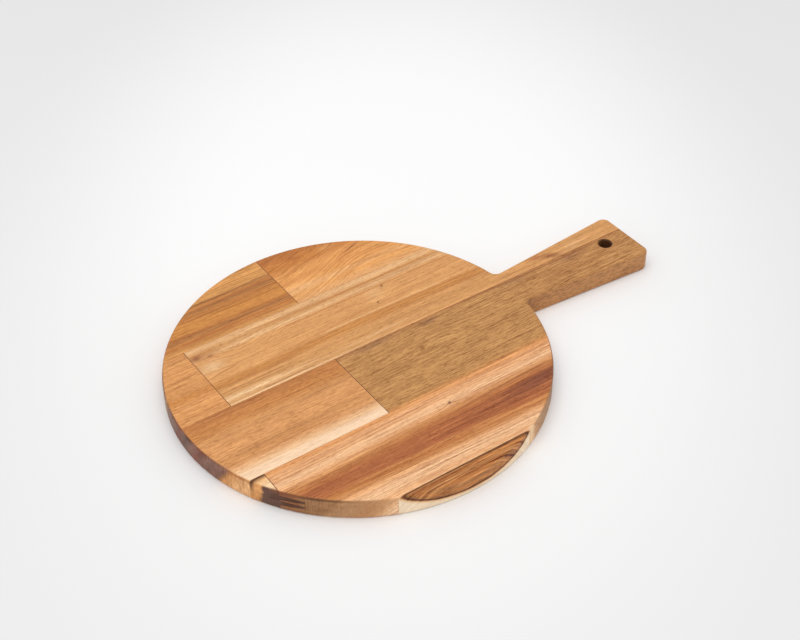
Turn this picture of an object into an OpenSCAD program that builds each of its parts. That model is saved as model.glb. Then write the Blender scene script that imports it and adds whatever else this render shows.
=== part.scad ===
// Round pizza serving board with a flared handle, glued up from solid wood staves.
// The grain and the handle run along X. The underside rests on Z = 0, centred under the round board.
// Staves lie in five rows from the rear (+Y) to the front (-Y). Four rows have a finger joint.

/* [Board] */
// Diameter of the round board
board_d = 330; // [300:1:400]
// Thickness of the wood
board_t = 20; // [16:0.5:30]
// Reach of the eased edges in from the rim and the faces
edge_reach = 2; // [0.75:0.25:4]

/* [Handle] */
// Length of the handle from the rim of the round board
handle_len = 137; // [90:1:180]
// Width of the handle at the rim of the round board
neck_w = 44; // [30:1:60]
// Width across the end of the handle
end_w = 65; // [50:1:80]
// Radius of the corners at the end of the handle
corner_r = 7; // [5:0.5:14]
// Radius of the fillets where the handle leaves the round board
neck_r = 6.5; // [5:0.5:25]

/* [Hanging hole] */
// Diameter of the hole
hole_d = 12; // [8:0.5:16]
// Distance of the hole from the end of the handle
hole_set_back = 27; // [18:0.5:40]
// Reach of the eased edge around the hole
hole_ease = 1.2; // [0.5:0.1:3]

/* [Staves] */
// Width of a full stave
stave_w = 80.6; // [60:0.1:100]
// Distance of the handle's seam behind the middle of the handle
handle_seam = 9.6; // [8.5:0.1:18]
// Reach of the front stave in from the front of the rim
front_reach = 13.1; // [9:0.1:30]
// Length of the left stave in the rear row, along its front seam
rear_left_len = 134.8; // [60:0.1:200]
// Length of the left stave in the second row, along its front seam
second_left_len = 46.3; // [25:0.1:120]
// Length of the left stave in the centre row, along the middle of the board
centre_left_len = 147.5; // [60:0.1:150]
// Length of the left stave in the fourth row, along its rear seam
fourth_left_len = 12.9; // [8:0.1:60]

/* [Glued joints] */
// Thickness of the glue in the seams between the rows
seam_glue = 0.15; // [0.05:0.05:0.4]
// Fingers of each left stave in its finger joint
finger_count = 2; // [1:1:3]
// Length of a finger
finger_len = 13; // [6:0.5:18]
// Thickness of a finger's tip
finger_tip = 1.5; // [0.5:0.1:2.5]
// Plain wood above and below the fingers
finger_shoulder = 4.3; // [2:0.1:6]
// Glue at the tips of the fingers
tip_glue = 0.4; // [0.2:0.05:0.6]

/* [Hidden] */
$fn = 96;
// Overshoot of a cut past the wood
over = 1;
// Radius of an easing arc for each millimetre of its reach, so that it meets the faces at a slight angle
ease_fullness = 1.1;
// Angle at which the corner and neck arcs cross the edges that they blend
meet_angle = 6;
// Depth of the wood behind a neck fillet
neck_root = 2 * edge_reach;

radius = board_d / 2;
handle_x = radius + handle_len;
flare = atan2((end_w - neck_w) / 2, handle_len);
edge_along = [cos(flare), sin(flare)];
edge_out = [-sin(flare), cos(flare)];
// Depth that the handle's solid runs into the round board
handle_root = 80;
// A distance past the board in every direction
far = handle_x + over;

// Centre of the rounded corner, near the square corner of the handle's end
corner_in = corner_r * cos(meet_angle);
corner_c = [handle_x - corner_in, end_w / 2 - corner_in * tan(flare) - corner_in / cos(flare)];

// Centre of the neck fillet, in the air between the rim and the handle's edge
neck_out = neck_r * cos(meet_angle);
neck_off = [radius, neck_w / 2] * edge_out + neck_out;
neck_from_centre = sqrt(radius ^ 2 + neck_r ^ 2 + 2 * radius * neck_out);
neck_c = edge_out * neck_off + edge_along * sqrt(neck_from_centre ^ 2 - neck_off ^ 2);

finger_pitch = (board_t - 2 * finger_shoulder) / finger_count;
finger_root = finger_pitch - finger_tip;

// Middles of the other seams
rear_seam = handle_seam + stave_w + seam_glue;
centre_seam = handle_seam - stave_w - seam_glue;
front_seam = front_reach - radius;
half_glue = seam_glue / 2;
// Left end of the rim at a distance from the handle's axis
function rim_x(y) = -sqrt(radius ^ 2 - y ^ 2);
// Each row's front, its rear and the place where its finger joint shows on the faces
rear_row = [rear_seam + half_glue, far, rim_x(rear_seam) + rear_left_len];
second_row = [handle_seam + half_glue, rear_seam - half_glue, rim_x(handle_seam) + second_left_len];
centre_row = [centre_seam + half_glue, handle_seam - half_glue, centre_left_len - radius];
fourth_row = [front_seam + half_glue, centre_seam - half_glue, rim_x(centre_seam) + fourth_left_len];
front_row = [-far, front_seam - half_glue];

// Height of the middle of a finger, counted down from the top
function finger_mid(i) = board_t - finger_shoulder - (i + 0.5) * finger_pitch;
// Zigzag of a finger joint in X and Z, from above the top face to below the underside
function finger_line(x) = [
    [x, board_t + over],
    for (i = [0 : finger_count - 1])
        each [
            [x, finger_mid(i) + finger_root / 2],
            [x + finger_len, finger_mid(i) + finger_tip / 2],
            [x + finger_len, finger_mid(i) - finger_tip / 2],
            [x, finger_mid(i) - finger_root / 2]
        ],
    [x, -over]
];
function reversed(points) = [for (i = [len(points) - 1 : -1 : 0]) points[i]];

// Waste outside an easing arc, for a corner at the origin with wood at X < 0 and Y > 0
module eased_corner(reach) {
    arc_r = ease_fullness * reach;
    arc_in = (reach + sqrt(2 * arc_r ^ 2 - reach ^ 2)) / 2;
    difference() {
        translate([-arc_in, -over]) square(arc_in + over);
        translate([-arc_in, arc_in]) circle(arc_r);
    }
}

// Eased corners of the underside and of the top face, with wood at X < 0
module eased_corners(reach) {
    eased_corner(reach);
    translate([0, board_t]) mirror([0, 1]) eased_corner(reach);
}

// Section through the wood at an eased edge, with the edge at X = 0
module edge_section(width) {
    difference() {
        translate([-width, 0]) square([width, board_t]);
        eased_corners(edge_reach);
    }
}

// Upright disc with eased edges
module eased_disc(r) {
    rotate_extrude() translate([r, 0]) edge_section(r);
}

// Waste of an upright hole through the wood, with eased edges
module eased_hole(r, reach) {
    translate([0, 0, -over]) cylinder(r = r, h = board_t + 2 * over);
    rotate_extrude() translate([r, 0]) mirror([1, 0]) eased_corners(reach);
}

// Wood behind the handle's rear edge, which flares out towards the end
module handle_side() {
    translate([radius, neck_w / 2, 0])
        rotate([0, 0, flare])
            translate([-2 * handle_root, 0, 0])
                rotate([90, 0, 90])
                    linear_extrude(2 * (handle_root + handle_len)) edge_section(neck_w + end_w);
}

// Waste outside the rounded corner at the rear of the handle's end
module corner_waste() {
    difference() {
        translate([0, 0, -over])
            linear_extrude(board_t + 2 * over)
                polygon([
                    corner_c,
                    corner_c + edge_out * (corner_r + over),
                    [handle_x + over, end_w / 2 + over],
                    corner_c + [corner_r + over, 0]
                ]);
        translate(corner_c) eased_disc(corner_r);
    }
}

// Flared handle with its eased edges, run into the round board
module handle() {
    difference() {
        intersection() {
            translate([handle_x, end_w, 0])
                rotate([90, 0, 0])
                    linear_extrude(2 * end_w) edge_section(handle_root + handle_len);
            handle_side();
            mirror([0, 1, 0]) handle_side();
        }
        corner_waste();
        mirror([0, 1, 0]) corner_waste();
    }
}

// Wood between the rim and the handle's rear edge, before its fillet is cut
module neck_block() {
    rim_side = neck_c * (radius - neck_root) / neck_from_centre;
    handle_edge = neck_c - edge_out * (neck_out + neck_root);
    linear_extrude(board_t) polygon([neck_c, rim_side, rim_side + handle_edge - neck_c, handle_edge]);
}

// The whole board as shaped after glue-up
module shaped_board() {
    difference() {
        union() {
            eased_disc(radius);
            handle();
            neck_block();
            mirror([0, 1, 0]) neck_block();
        }
        translate(neck_c) eased_hole(neck_r, edge_reach);
        mirror([0, 1, 0]) translate(neck_c) eased_hole(neck_r, edge_reach);
        translate([handle_x - hole_set_back, 0, 0]) eased_hole(hole_d / 2, hole_ease);
    }
}

// What a row of the shaped board holds inside an outline in X and Z
module in_row(row, outline) {
    intersection() {
        shaped_board();
        translate([0, row[1], 0])
            rotate([90, 0, 0])
                linear_extrude(row[1] - row[0]) polygon(outline);
    }
}

module left_stave(row) {
    in_row(row, concat(finger_line(row[2]), [[-far, -over], [-far, board_t + over]]));
}

module right_stave(row) {
    in_row(row, concat(finger_line(row[2] + tip_glue), [[far, -over], [far, board_t + over]]));
}

module whole_stave(row) {
    in_row(row, [[-far, -over], [far, -over], [far, board_t + over], [-far, board_t + over]]);
}

// Glue between the fingers of a row's two staves
module finger_glue(row) {
    in_row(row, concat(finger_line(row[2]), reversed(finger_line(row[2] + tip_glue))));
}

// Glue in a seam between two rows
module seam_line(y) {
    intersection() {
        shaped_board();
        translate([-far, y - half_glue, -over]) cube([2 * far, seam_glue, board_t + 2 * over]);
    }
}

module rear_left_stave() { color("#b98550") left_stave(rear_row); }
module rear_right_stave() { color("#c98a4a") right_stave(rear_row); }
module second_left_stave() { color("#cd9459") left_stave(second_row); }
module second_handle_stave() { color("#cb9a5f") right_stave(second_row); }
module centre_left_stave() { color("#cf9763") left_stave(centre_row); }
module centre_handle_stave() { color("#b18350") right_stave(centre_row); }
module fourth_left_stave() { color("#d9b07a") left_stave(fourth_row); }
module fourth_right_stave() { color("#c08154") right_stave(fourth_row); }
module front_stave() { color("#a9733f") whole_stave(front_row); }
module rear_seam_glue() { color("#8a6136") seam_line(rear_seam); }
module handle_seam_glue() { color("#8a6136") seam_line(handle_seam); }
module centre_seam_glue() { color("#8a6136") seam_line(centre_seam); }
module front_seam_glue() { color("#4a2c18") seam_line(front_seam); }
module rear_finger_glue() { color("#8a6136") finger_glue(rear_row); }
module second_finger_glue() { color("#8a6136") finger_glue(second_row); }
module centre_finger_glue() { color("#8a6136") finger_glue(centre_row); }
module fourth_finger_glue() { color("#8a6136") finger_glue(fourth_row); }

rear_left_stave();
rear_right_stave();
second_left_stave();
second_handle_stave();
centre_left_stave();
centre_handle_stave();
fourth_left_stave();
fourth_right_stave();
front_stave();
rear_seam_glue();
handle_seam_glue();
centre_seam_glue();
front_seam_glue();
rear_finger_glue();
second_finger_glue();
centre_finger_glue();
fourth_finger_glue();
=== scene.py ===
import math

import bpy
import numpy as np
from mathutils import Matrix, Vector, geometry, noise


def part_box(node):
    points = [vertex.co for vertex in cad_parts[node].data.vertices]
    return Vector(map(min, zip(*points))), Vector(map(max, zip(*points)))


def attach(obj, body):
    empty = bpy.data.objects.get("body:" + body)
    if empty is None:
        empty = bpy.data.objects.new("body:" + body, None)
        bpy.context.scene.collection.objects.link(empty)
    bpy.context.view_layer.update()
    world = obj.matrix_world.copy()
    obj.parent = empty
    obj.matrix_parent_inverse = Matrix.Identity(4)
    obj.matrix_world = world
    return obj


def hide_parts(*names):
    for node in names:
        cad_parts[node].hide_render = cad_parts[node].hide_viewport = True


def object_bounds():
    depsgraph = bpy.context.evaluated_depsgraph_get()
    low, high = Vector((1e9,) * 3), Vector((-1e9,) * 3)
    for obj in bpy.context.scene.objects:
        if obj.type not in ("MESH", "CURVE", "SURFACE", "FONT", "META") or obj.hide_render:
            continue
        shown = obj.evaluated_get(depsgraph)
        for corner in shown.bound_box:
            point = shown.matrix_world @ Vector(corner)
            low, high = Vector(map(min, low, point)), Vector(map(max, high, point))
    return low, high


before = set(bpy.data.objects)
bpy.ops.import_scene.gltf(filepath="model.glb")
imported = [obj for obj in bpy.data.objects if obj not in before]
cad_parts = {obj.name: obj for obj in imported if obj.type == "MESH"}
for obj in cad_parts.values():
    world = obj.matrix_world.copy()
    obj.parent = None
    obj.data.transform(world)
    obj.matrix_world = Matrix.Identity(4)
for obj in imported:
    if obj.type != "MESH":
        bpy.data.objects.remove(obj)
cadLow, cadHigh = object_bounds()
mm = 0.001  # outlines and grain are worked out in millimetres of the board's own frame

# Outline of the whole board. Its seams and joints are read from the frame.
board = {
    "radius": -cadLow.x / mm,
    "thickness": cadHigh.z / mm,
    "handleEnd": cadHigh.x / mm,
    "neckHalf": 22.0,  # half the handle's width at the rim
    "endHalf": 32.5,  # half the handle's width at its end
    "neckFillet": 6.5,
    "cornerRadius": 7.0,
    "meetAngle": math.radians(6),  # the small arcs cross the edges at this angle
    "edgeReach": 2.0,
    "easeFullness": 1.1,
    "seamEase": 0.12,  # sanded arris on each side of a glue line
    "faceGuard": 1.0,  # flat band kept between the eased edge and the worked face
    "hole": (275.0, 0.0),
    "holeRadius": 6.0,
    "holeEase": 1.2,
    "tipGlue": 0.4,
    "fingerLength": 13.0,
    "fingerMids": (12.85, 7.15),
    "fingerTip": 1.5,
    "fingerRoot": 4.2,
    "easeHeights": (0.0, 0.12, 0.3, 0.6, 0.9, 1.2, 1.6, 2.0),
    "rimStep": 2.0,  # spacing of points along curves
    "seamStep": 6.0,  # spacing of points along straight edges
    "faceStep": 4.0,  # spacing of points on the faces
}

# Handle edge, end corner and neck fillet of the rear side. The front side mirrors them.
flare = math.atan2(board["endHalf"] - board["neckHalf"], board["handleEnd"] - board["radius"])
edgeAlong = Vector((math.cos(flare), math.sin(flare)))
edgeOut = Vector((-math.sin(flare), math.cos(flare)))
cornerIn = board["cornerRadius"] * math.cos(board["meetAngle"])
cornerCentre = Vector((
    board["handleEnd"] - cornerIn,
    board["endHalf"] - cornerIn * math.tan(flare) - cornerIn / math.cos(flare),
))
neckOut = board["neckFillet"] * math.cos(board["meetAngle"])
neckOffset = Vector((board["radius"], board["neckHalf"])).dot(edgeOut) + neckOut
neckFromCentre = math.sqrt(
    board["radius"] ** 2 + board["neckFillet"] ** 2 + 2 * board["radius"] * neckOut
)
neckCentre = edgeOut * neckOffset + edgeAlong * math.sqrt(neckFromCentre ** 2 - neckOffset ** 2)


def easedInset(z, reach):
    depth = min(z, board["thickness"] - z)
    if depth >= reach:
        return 0.0
    arcRadius = board["easeFullness"] * reach
    arcIn = (reach + math.sqrt(2 * arcRadius ** 2 - reach ** 2)) / 2
    return arcIn - math.sqrt(arcRadius ** 2 - (arcIn - depth) ** 2)


def fingerReach(z):
    nearest = min(abs(z - mid) for mid in board["fingerMids"])
    tip = board["fingerTip"] / 2
    root = board["fingerRoot"] / 2
    share = (root - nearest) / (root - tip)
    return board["fingerLength"] * min(1.0, max(0.0, share))


def boardLevels():
    top = board["thickness"]
    heights = set(board["easeHeights"]) | {top - h for h in board["easeHeights"]}
    for mid in board["fingerMids"]:
        for half in (board["fingerTip"] / 2, board["fingerRoot"] / 2):
            heights |= {mid - half, mid + half}
    levels = []
    for z in sorted(heights):
        fromFace = min(z, top - z)
        levels.append({
            "z": z,
            "inset": easedInset(z, board["edgeReach"]),
            "ease": max(0.0, board["seamEase"] - fromFace),
            "holeInset": easedInset(z, board["holeEase"]),
            "fingers": fingerReach(z),
        })
    guard = board["faceGuard"]

    def guarded(level):
        grown = dict(level)
        for key in ("inset", "ease", "holeInset"):
            grown[key] = level[key] + guard
        return grown

    return [guarded(levels[0])] + levels + [guarded(levels[-1])]


# Edges of an outline: straight ones and arcs
def straight(start, end):
    return {"start": Vector(start), "end": Vector(end)}


def arc(centre, radius, fromAngle, toAngle):
    return {"centre": Vector(centre), "radius": radius, "from": fromAngle, "to": toAngle}


def edgeCount(edge):
    if "centre" in edge:
        return max(4, round(abs(edge["to"] - edge["from"]) * edge["radius"] / board["rimStep"]))
    return max(1, round((edge["end"] - edge["start"]).length / board["seamStep"]))


def edgePoints(edge, count):
    if "centre" not in edge:
        return [edge["start"].lerp(edge["end"], i / count) for i in range(count)]
    points = []
    for i in range(count):
        angle = edge["from"] + (edge["to"] - edge["from"]) * i / count
        points.append(edge["centre"] + edge["radius"] * Vector((math.cos(angle), math.sin(angle))))
    return points


def rimRadius(level):
    return board["radius"] - level["inset"]


def rimX(y, level):
    return math.sqrt(rimRadius(level) ** 2 - y ** 2)


def rimArc(start, end, level):
    fromAngle = math.atan2(start[1], start[0])
    toAngle = math.atan2(end[1], end[0])
    if toAngle < fromAngle:
        toAngle += 2 * math.pi
    return arc((0, 0), rimRadius(level), fromAngle, toAngle)


def handleCorner(level):
    radius = board["cornerRadius"] - level["inset"]
    cross = math.acos((cornerIn - level["inset"]) / radius)
    return arc(cornerCentre, radius, cross, flare + math.pi / 2 - cross)


def neckFillet(level):
    radius = board["neckFillet"] + level["inset"]
    rim = rimRadius(level)
    spread = math.acos((rim ** 2 + neckFromCentre ** 2 - radius ** 2) / (2 * rim * neckFromCentre))
    rimAngle = math.atan2(neckCentre.y, neckCentre.x) + spread
    away = rim * Vector((math.cos(rimAngle), math.sin(rimAngle))) - neckCentre
    cross = math.acos((neckOut + level["inset"]) / radius)
    return arc(neckCentre, radius, flare - math.pi / 2 + cross, math.atan2(away.y, away.x))


def mirrored(edge):
    if "centre" in edge:
        centre = Vector((edge["centre"].x, -edge["centre"].y))
        return arc(centre, edge["radius"], -edge["to"], -edge["from"])
    return straight((edge["end"].x, -edge["end"].y), (edge["start"].x, -edge["start"].y))


def arcEnd(edge, atEnd=True):
    angle = edge["to"] if atEnd else edge["from"]
    return edge["centre"] + edge["radius"] * Vector((math.cos(angle), math.sin(angle)))


def handleSide(level):
    corner = handleCorner(level)
    fillet = neckFillet(level)
    return [corner, straight(arcEnd(corner), arcEnd(fillet, False)), fillet]


def rowSides(look, level):
    front, rear = look["row"]
    return front + level["ease"], rear - level["ease"]


def leftJoint(look, level):
    return look["jointX"] + level["fingers"] - level["ease"]


def rightJoint(look, level):
    return look["jointX"] + board["tipGlue"] + level["fingers"] + level["ease"]


# Outlines of the staves at one level, counter-clockwise from above
def rearLeftOutline(look, level):
    front, _ = rowSides(look, level)
    x = leftJoint(look, level)
    tip = (-rimX(front, level), front)
    top = (x, rimX(x, level))
    return [straight(tip, (x, front)), straight((x, front), top), rimArc(top, tip, level)]


def rearRightOutline(look, level):
    front, _ = rowSides(look, level)
    x = rightJoint(look, level)
    tip = (rimX(front, level), front)
    top = (x, rimX(x, level))
    return [straight((x, front), tip), rimArc(tip, top, level), straight(top, (x, front))]


def leftOutline(look, level):
    front, rear = rowSides(look, level)
    x = leftJoint(look, level)
    frontTip = (-rimX(front, level), front)
    rearTip = (-rimX(rear, level), rear)
    return [
        straight(frontTip, (x, front)),
        straight((x, front), (x, rear)),
        straight((x, rear), rearTip),
        rimArc(rearTip, frontTip, level),
    ]


def secondHandleOutline(look, level):
    front, rear = rowSides(look, level)
    x = rightJoint(look, level)
    end = board["handleEnd"] - level["inset"]
    side = handleSide(level)
    rearTip = (rimX(rear, level), rear)
    return [
        straight((x, front), (end, front)),
        straight((end, front), arcEnd(side[0], False)),
        *side,
        rimArc(arcEnd(side[2]), rearTip, level),
        straight(rearTip, (x, rear)),
        straight((x, rear), (x, front)),
    ]


def centreHandleOutline(look, level):
    front, rear = rowSides(look, level)
    x = rightJoint(look, level)
    end = board["handleEnd"] - level["inset"]
    side = [mirrored(edge) for edge in reversed(handleSide(level))]
    frontTip = (rimX(front, level), front)
    return [
        straight((x, front), frontTip),
        rimArc(frontTip, arcEnd(side[0], False), level),
        *side,
        straight(arcEnd(side[2]), (end, rear)),
        straight((end, rear), (x, rear)),
        straight((x, rear), (x, front)),
    ]


def fourthLeftOutline(look, level):
    _, rear = rowSides(look, level)
    x = leftJoint(look, level)
    tip = (-rimX(rear, level), rear)
    low = (x, -rimX(x, level))
    return [rimArc(tip, low, level), straight(low, (x, rear)), straight((x, rear), tip)]


def fourthRightOutline(look, level):
    front, rear = rowSides(look, level)
    x = rightJoint(look, level)
    low = (x, -rimX(x, level))
    frontReach = rimX(front, level)
    rearTip = (rimX(rear, level), rear)
    return [
        straight((x, rear), low),
        rimArc(low, (-frontReach, front), level),
        straight((-frontReach, front), (frontReach, front)),
        rimArc((frontReach, front), rearTip, level),
        straight(rearTip, (x, rear)),
    ]


def frontOutline(look, level):
    _, rear = rowSides(look, level)
    reach = rimX(rear, level)
    return [straight((reach, rear), (-reach, rear)), rimArc((-reach, rear), (reach, rear), level)]


def holeOutline(level):
    radius = board["holeRadius"] + level["holeInset"]
    return [arc(board["hole"], radius, 2 * math.pi, 0)]


# Points of a face, away from its edges, with extra ones round the knots
def facePoints(loops, knots):
    ring = np.array([p for loop in loops for p in loop])
    following = np.array([p for loop in loops for p in loop[1:] + loop[:1]])
    step = board["faceStep"]
    low, high = ring.min(0), ring.max(0)
    points = []
    for row in range(int((high[1] - low[1]) / (step * math.sqrt(0.75))) + 1):
        y = low[1] + (row + 0.5) * step * math.sqrt(0.75)
        shift = step / 2 * (row % 2)
        for column in range(int((high[0] - low[0]) / step) + 1):
            points.append((low[0] + shift + (column + 0.3) * step, y))
    for knot in knots:
        for radius, count in ((0.0, 1), (0.8, 6), (1.6, 10), (2.6, 12)):
            for i in range(count):
                angle = 2 * math.pi * i / count
                points.append((knot[0] + radius * math.cos(angle), knot[1] + radius * math.sin(angle)))
    points = np.array(points)
    run = following - ring
    inside = np.zeros(len(points), bool)
    nearest = np.full(len(points), 1e9)
    for start, along in zip(ring, run):
        offset = points - start
        share = np.clip(offset @ along / max(along @ along, 1e-12), 0, 1)
        nearest = np.minimum(nearest, np.hypot(*(offset - share[:, None] * along).T))
        if along[1] != 0:
            crosses = (offset[:, 1] >= 0) != (offset[:, 1] - along[1] >= 0)
            inside ^= crosses & (offset[:, 0] < offset[:, 1] / along[1] * along[0])
    kept = inside & (nearest > step * 0.4)
    return points[kept], nearest[kept]


# Hand-sanded face: long shallow waves along the grain, and a dip at each knot, in millimetres
relief = {
    "depth": 0.05,
    "waveLength": 70.0,
    "waveWidth": 11.0,
    "fade": 6.0,
    "knotDepth": 0.3,
    "knotSize": 1.5,
}


def faceDip(x, y, fromEdge, look, knots):
    wave = noise.noise(Vector((x / relief["waveLength"], y / relief["waveWidth"], look["seed"] * 3.7)))
    dip = relief["depth"] * (0.5 + 0.5 * wave)
    for knot in knots:
        away = math.hypot(x - knot[0], y - knot[1]) / relief["knotSize"]
        dip += relief["knotDepth"] * math.exp(-away ** 2)
    return dip * min(1.0, fromEdge / relief["fade"])


def staveMesh(name, look, outline, withHole):
    levels = boardLevels()
    counts = [edgeCount(edge) for edge in outline(look, levels[1])]
    holeCounts = [edgeCount(edge) for edge in holeOutline(levels[1])]
    points, faces, rings = [], [], []
    for level in levels:
        loops = []
        chains = [(outline(look, level), counts)]
        if withHole:
            chains.append((holeOutline(level), holeCounts))
        for edges, edgeCounts in chains:
            loop = []
            for edge, count in zip(edges, edgeCounts):
                loop.extend(edgePoints(edge, count))
            loops.append((len(points), loop))
            points.extend((p.x, p.y, level["z"]) for p in loop)
        rings.append(loops)
    for lower, upper in zip(rings, rings[1:]):
        for (lowBase, loop), (highBase, _) in zip(lower, upper):
            for i in range(len(loop)):
                j = (i + 1) % len(loop)
                faces.append((lowBase + i, lowBase + j, highBase + j, highBase + i))
    for ring, upward in ((rings[0], False), (rings[-1], True)):
        knots = look["knots"] if upward else []
        known, borders = [], []
        for base, loop in ring:
            first = len(known)  # ends as the first point of the hole, where there is one
            known.extend(range(base, base + len(loop)))
            borders.extend((first + i, first + (i + 1) % len(loop)) for i in range(len(loop)))
        flat = [Vector(points[i][:2]) for i in known]
        ringCount = len(known)
        inner, fromEdge = facePoints([[tuple(p) for p in loop] for _, loop in ring], knots)
        z = board["thickness"] if upward else 0.0
        for (x, y), edgeGap in zip(inner, fromEdge):
            dip = faceDip(x, y, edgeGap, look, knots)
            known.append(len(points))
            flat.append(Vector((x, y)))
            points.append((x, y, z - dip if upward else z + dip))
        spots, _, triangles, origins, _, _ = geometry.delaunay_2d_cdt(flat, borders, [], 1, 1e-6)
        for corners in triangles:
            if withHole and all(first <= origins[c][0] < ringCount for c in corners):
                continue
            turn = (spots[corners[1]] - spots[corners[0]]).cross(spots[corners[2]] - spots[corners[0]])
            used = [known[origins[c][0]] for c in corners]
            faces.append(tuple(used) if (turn > 0) == upward else tuple(reversed(used)))
    mesh = bpy.data.meshes.new(name)
    mesh.from_pydata([Vector(p) * mm for p in points], [], faces)
    mesh.validate()
    mesh.shade_smooth()
    mesh.set_sharp_from_angle(angle=math.radians(28))
    return mesh


# Shader wiring
def put(tree, kind, inputs=None, **settings):
    node = tree.nodes.new(kind)
    for key, value in settings.items():
        setattr(node, key, value)
    for key, value in (inputs or {}).items():
        if isinstance(value, bpy.types.NodeSocket):
            tree.links.new(value, node.inputs[key])
        else:
            node.inputs[key].default_value = value
    return node


def calc(tree, operation, *values):
    return put(tree, "ShaderNodeMath", dict(enumerate(values)), operation=operation).outputs[0]


def vectorCalc(tree, operation, *values):
    return put(tree, "ShaderNodeVectorMath", dict(enumerate(values)), operation=operation).outputs[0]


def joinAxes(tree, x, y, z):
    return put(tree, "ShaderNodeCombineXYZ", {0: x, 1: y, 2: z}).outputs[0]


def splitAxes(tree, vector):
    return put(tree, "ShaderNodeSeparateXYZ", {0: vector}).outputs


def cloud(tree, at, detail=1.0, roughness=0.5):
    inputs = {"Vector": at, "Scale": 1.0, "Detail": detail, "Roughness": roughness}
    return put(tree, "ShaderNodeTexNoise", inputs)


def rescale(tree, value, low, high, toLow=0.0, toHigh=1.0, kind="SMOOTHSTEP"):
    inputs = {"Value": value, "From Min": low, "From Max": high, "To Min": toLow, "To Max": toHigh}
    return put(tree, "ShaderNodeMapRange", inputs, interpolation_type=kind).outputs[0]


def blend(tree, factor, first, second, mode="MIX"):
    node = put(tree, "ShaderNodeMix", data_type="RGBA", blend_type=mode)
    for index, value in ((0, factor), (6, first), (7, second)):
        if isinstance(value, bpy.types.NodeSocket):
            tree.links.new(value, node.inputs[index])
        else:
            node.inputs[index].default_value = value
    return node.outputs[2]


def toneRamp(tree, at, bands):
    low, high = bands[0][0], bands[-1][0]
    node = put(tree, "ShaderNodeValToRGB", {0: rescale(tree, at, low, high, kind="LINEAR")})
    elements = node.color_ramp.elements
    while len(elements) < len(bands):
        elements.new(0.5)
    for element, (place, tone) in zip(elements, bands):
        element.position = (place - low) / (high - low)
        element.color = toneColour(tone)
    return node.outputs[0]


# Wood tones, as they look in daylight
tones = {
    "ivory": "f8dfbf",
    "cream": "f8d2a6",
    "sand": "efc08b",
    "straw": "e4ac74",
    "apricot": "e5a562",
    "honey": "da995b",
    "tan": "cf9155",
    "amber": "c98545",
    "khaki": "bf8a52",
    "clay": "bc7840",
    "nut": "ad7443",
    "russet": "aa6538",
    "umber": "8f5230",
    "maroon": "7c4633",
    "drab": "a1764f",
    "rose": "b77f52",
    "plum": "835b4a",
    "dusk": "67473a",
    "bark": "4d2f1b",
}


def toneColour(tone):
    channels = [int(tones[tone][i:i + 2], 16) / 255 for i in (0, 2, 4)]
    return tuple(c / 12.92 if c < 0.04045 else ((c + 0.055) / 1.055) ** 2.4 for c in channels) + (1.0,)


# Finish that all staves share: rubbed oil on open pores
oil = {
    "roughness": (0.42, 0.62),
    "specular": 0.2,
    "bumpStrength": 0.35,
    "bumpDepth": 0.00018,
    "poreTint": (0.52, 0.40, 0.30, 1.0),
    "shadeTint": (0.85, 1.08, 1.30),  # darker grain is redder
}


def bell(tree, *shares):
    total = calc(tree, "POWER", shares[0], 2.0)
    for share in shares[1:]:
        total = calc(tree, "ADD", total, calc(tree, "POWER", share, 2.0))
    return calc(tree, "EXPONENT", calc(tree, "MULTIPLY", total, -1.0))


def turnedShares(tree, x, y, place, size, turn):
    angle = math.radians(turn)
    dx = calc(tree, "SUBTRACT", x, place[0])
    dy = calc(tree, "SUBTRACT", y, place[1])
    along = calc(tree, "MULTIPLY_ADD", dx, math.cos(angle), calc(tree, "MULTIPLY", dy, math.sin(angle)))
    across = calc(tree, "MULTIPLY_ADD", dx, -math.sin(angle), calc(tree, "MULTIPLY", dy, math.cos(angle)))
    return calc(tree, "DIVIDE", along, size[0]), calc(tree, "DIVIDE", across, size[1])


# Length and width of the grain's layers, in millimetres
grainSizes = {
    "streak": (380.0, 8.0),
    "line": (170.0, 2.2),
    "strand": (80.0, 1.3),
    "fibre": (18.0, 0.95),
    "fleck": (4.5, 0.7),
    "mottle": (26.0, 9.0),
    "vein": (520.0, 5.0),
    "pore": (8.0, 0.8),
    "blotch": (7.0, 6.0),
    "stroke": (0.9, 9.0),
}


# Noise drawn out along the grain
def grainCloud(tree, along, across, sizes, third, detail, roughness=0.5):
    length, width = sizes
    at = joinAxes(tree, calc(tree, "DIVIDE", along, length), calc(tree, "DIVIDE", across, width), third)
    return cloud(tree, at, detail, roughness).outputs["Fac"]


# One growth line that shows by itself, from one place to another
def traceShare(tree, trace, x, across, breaks):
    (x0, y0), (x1, y1) = trace["from"], trace["to"]
    share = rescale(tree, x, x0, x1, kind="LINEAR")
    lift = calc(tree, "MULTIPLY_ADD", share, y1 - y0, y0)
    if trace.get("bow"):
        curve = calc(tree, "MULTIPLY", calc(tree, "SUBTRACT", 1.0, share), share)
        lift = calc(tree, "MULTIPLY_ADD", curve, 4 * trace["bow"], lift)
    gap = calc(tree, "DIVIDE", calc(tree, "SUBTRACT", across, lift), trace["width"])
    ends = calc(tree, "MULTIPLY", rescale(tree, x, x0 - 6, x0 + 14), rescale(tree, x, x1 + 6, x1 - 14))
    solid = rescale(tree, breaks, 0.30, 0.52, 0.35, 1.0)
    amount = calc(tree, "MULTIPLY", calc(tree, "MULTIPLY", ends, solid), trace["amount"])
    return calc(tree, "MULTIPLY", bell(tree, gap), amount)


# One patch of stain, figure or painted shade
def patchShare(tree, patch, x, across, depth):
    shares = turnedShares(tree, x, across, patch["at"], patch["size"], patch.get("turn", 0))
    sunk = calc(tree, "ADD", depth, patch.get("sink", 0.0))
    reach = bell(tree, *shares, calc(tree, "DIVIDE", sunk, patch.get("depth", 9.0)))
    return calc(tree, "MULTIPLY", reach, patch["amount"])


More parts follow.
